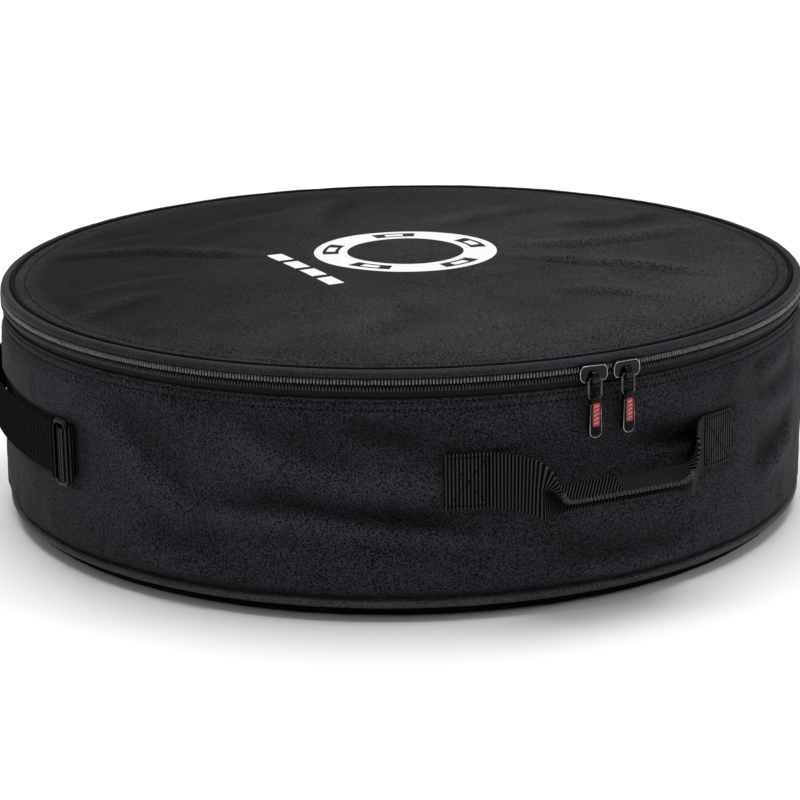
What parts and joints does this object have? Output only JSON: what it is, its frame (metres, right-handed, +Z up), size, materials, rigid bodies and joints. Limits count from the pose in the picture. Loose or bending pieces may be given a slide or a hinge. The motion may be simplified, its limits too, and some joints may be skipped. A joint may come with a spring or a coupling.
{
  "type": "frame drum carry case",
  "caption": "Round padded fabric carry case for a flat hand percussion instrument, with a zipped hinged lid, a folded webbing carry handle and a shoulder strap.",
  "frame": {"origin": "centre of the flat underside, on the case's axis", "axes": "+Z up along the case's axis, -Y out of the front (handle and zip pulls), +Y towards the lid's hinge, +X to the right seen from the front"},
  "size_m": [0.6026, 0.63, 0.1748],
  "materials": {
    "nylon": "fine plain weave, slight sheen",
    "foam": "closed-cell foam, hidden",
    "lining": "smooth lining cloth",
    "binding_tape": "woven binding tape",
    "webbing": "ribbed polypropylene webbing",
    "zip_tape": "satin tape",
    "zip_coil": "nylon coil",
    "ring_metal": "black, semi-gloss",
    "slider_metal": "black nickel, glossy",
    "pull_rubber": "moulded, matt",
    "pull_red": "moulded, matt"
  },
  "bodies": {
    "case": {"wall_outer_shell": "nylon", "wall_foam": "foam", "wall_lining": "lining", "base_outer_panel": "nylon", "base_foam": "foam", "base_lining": "lining", "base_piping": "nylon", "base_seam_binding": "binding_tape", "lower_zip_tape": "zip_tape", "lower_zip_coil": "zip_coil", "zip_end_tab_left": "binding_tape", "zip_end_tab_right": "binding_tape", "hinge_flap_lower": "nylon", "handle_end_left": "webbing", "handle_end_right": "webbing", "left_anchor_tab": "webbing", "left_strap_ring": "ring_metal", "left_strap_end": "webbing", "right_anchor_tab": "webbing", "right_strap_ring": "ring_metal", "right_strap_end": "webbing"},
    "lid": {"lid_outer_panel": "nylon", "lid_foam": "foam", "lid_lining": "lining", "lid_edge_welt": "nylon", "lid_edge_roll": "zip_tape", "lid_seam_binding": "binding_tape", "hinge_flap_upper": "nylon", "upper_zip_tape": "zip_tape", "upper_zip_coil": "zip_coil"},
    "slider_left": {"slider_left": "slider_metal"},
    "link_left": {"pull_link_left": "slider_metal"},
    "pull_left": {"pull_left": "pull_rubber", "pull_insert_left": "pull_red"},
    "slider_right": {"slider_right": "slider_metal"},
    "link_right": {"pull_link_right": "slider_metal"},
    "pull_right": {"pull_right": "pull_rubber", "pull_insert_right": "pull_red"},
    "handle": {"handle_core": "webbing", "handle_grip": "webbing"},
    "strap": {"shoulder_strap": "webbing"}
  },
  "joints": [
    {"name": "lid_hinge", "type": "hinge", "parent": "case", "child": "lid", "pos_m": [0, 0.2976, 0.162], "axis": [-1, 0, 0], "range_deg": [0, 180]},
    {"name": "zip_left", "type": "hinge", "parent": "case", "child": "slider_left", "pos_m": [0, 0, 0.162], "axis": [0, 0, 1], "range_deg": [-147.6, 0]},
    {"name": "link_left_swing", "type": "hinge", "parent": "slider_left", "child": "link_left", "pos_m": [-0.01262, -0.30114, 0.159], "axis": [-0.9991, 0.0419, 0], "range_deg": [0, 130]},
    {"name": "pull_left_swing", "type": "hinge", "parent": "link_left", "child": "pull_left", "pos_m": [-0.01262, -0.30114, 0.1455], "axis": [-0.9991, 0.0419, 0], "range_deg": [0, 90]},
    {"name": "zip_right", "type": "hinge", "parent": "case", "child": "slider_right", "pos_m": [0, 0, 0.162], "axis": [0, 0, 1], "range_deg": [0, 147.6]},
    {"name": "link_right_swing", "type": "hinge", "parent": "slider_right", "child": "link_right", "pos_m": [0.01262, -0.30114, 0.159], "axis": [-0.9991, -0.0419, 0], "range_deg": [0, 130]},
    {"name": "pull_right_swing", "type": "hinge", "parent": "link_right", "child": "pull_right", "pos_m": [0.01262, -0.30114, 0.1455], "axis": [-0.9991, -0.0419, 0], "range_deg": [0, 90]},
    {"name": "handle_swing", "type": "hinge", "parent": "case", "child": "handle", "pos_m": [0, -0.2875, 0.0965], "axis": [-1, 0, 0], "range_deg": [-25, 70], "stiffness_Nm_per_rad": 0.15, "springref_deg": 2.86},
    {"name": "strap_swing", "type": "hinge", "parent": "case", "child": "strap", "pos_m": [0, -0.06184, 0.088], "axis": [1, 0, 0], "range_deg": [0, 110]}
  ]
}
